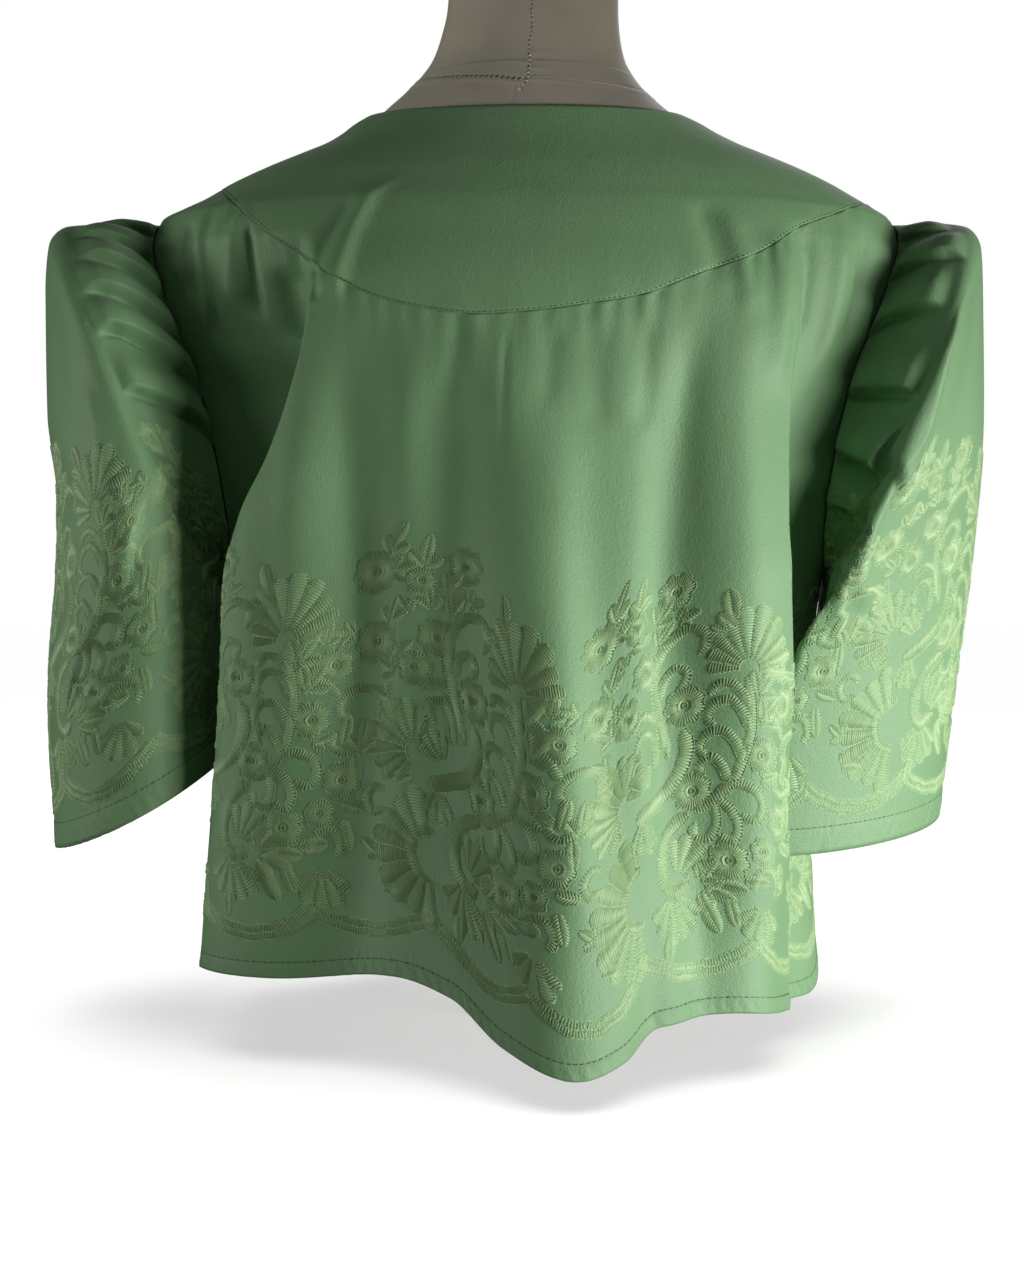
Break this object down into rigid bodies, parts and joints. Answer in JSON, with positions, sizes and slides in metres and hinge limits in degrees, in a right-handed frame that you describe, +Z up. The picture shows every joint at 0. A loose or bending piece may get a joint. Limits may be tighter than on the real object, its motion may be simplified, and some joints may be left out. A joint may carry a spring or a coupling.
{
  "type": "bolero jacket on dress form",
  "caption": "Cropped open-front jacket with a yoked back, pleated wide elbow-length sleeves and a raised scallop border, worn on a limbless dress form with a flat foot.",
  "frame": {"origin": "centre of the flat foot's underside, on the surface that the dress form stands on", "axes": "+Z up; the jacket's back faces -Y and its open front faces +Y; the wearer's right is +X"},
  "size_m": [0.5306, 0.3456, 0.6],
  "materials": {
    "green_cloth": "leaf green crepe with a soft sheen",
    "band_thread": "lighter green satin embroidery thread",
    "form_cover": "taupe knit cover with a faint sheen"
  },
  "bodies": {
    "root": {"dress_form": "form_cover", "back_yoke": "green_cloth", "back_panel": "green_cloth", "front_left": "green_cloth", "front_right": "green_cloth", "sleeve_left": "green_cloth", "sleeve_right": "green_cloth", "back_panel_scallops": "band_thread", "front_left_scallops": "band_thread", "front_right_scallops": "band_thread", "sleeve_left_scallops": "band_thread", "sleeve_right_scallops": "band_thread"}
  },
  "joints": []
}
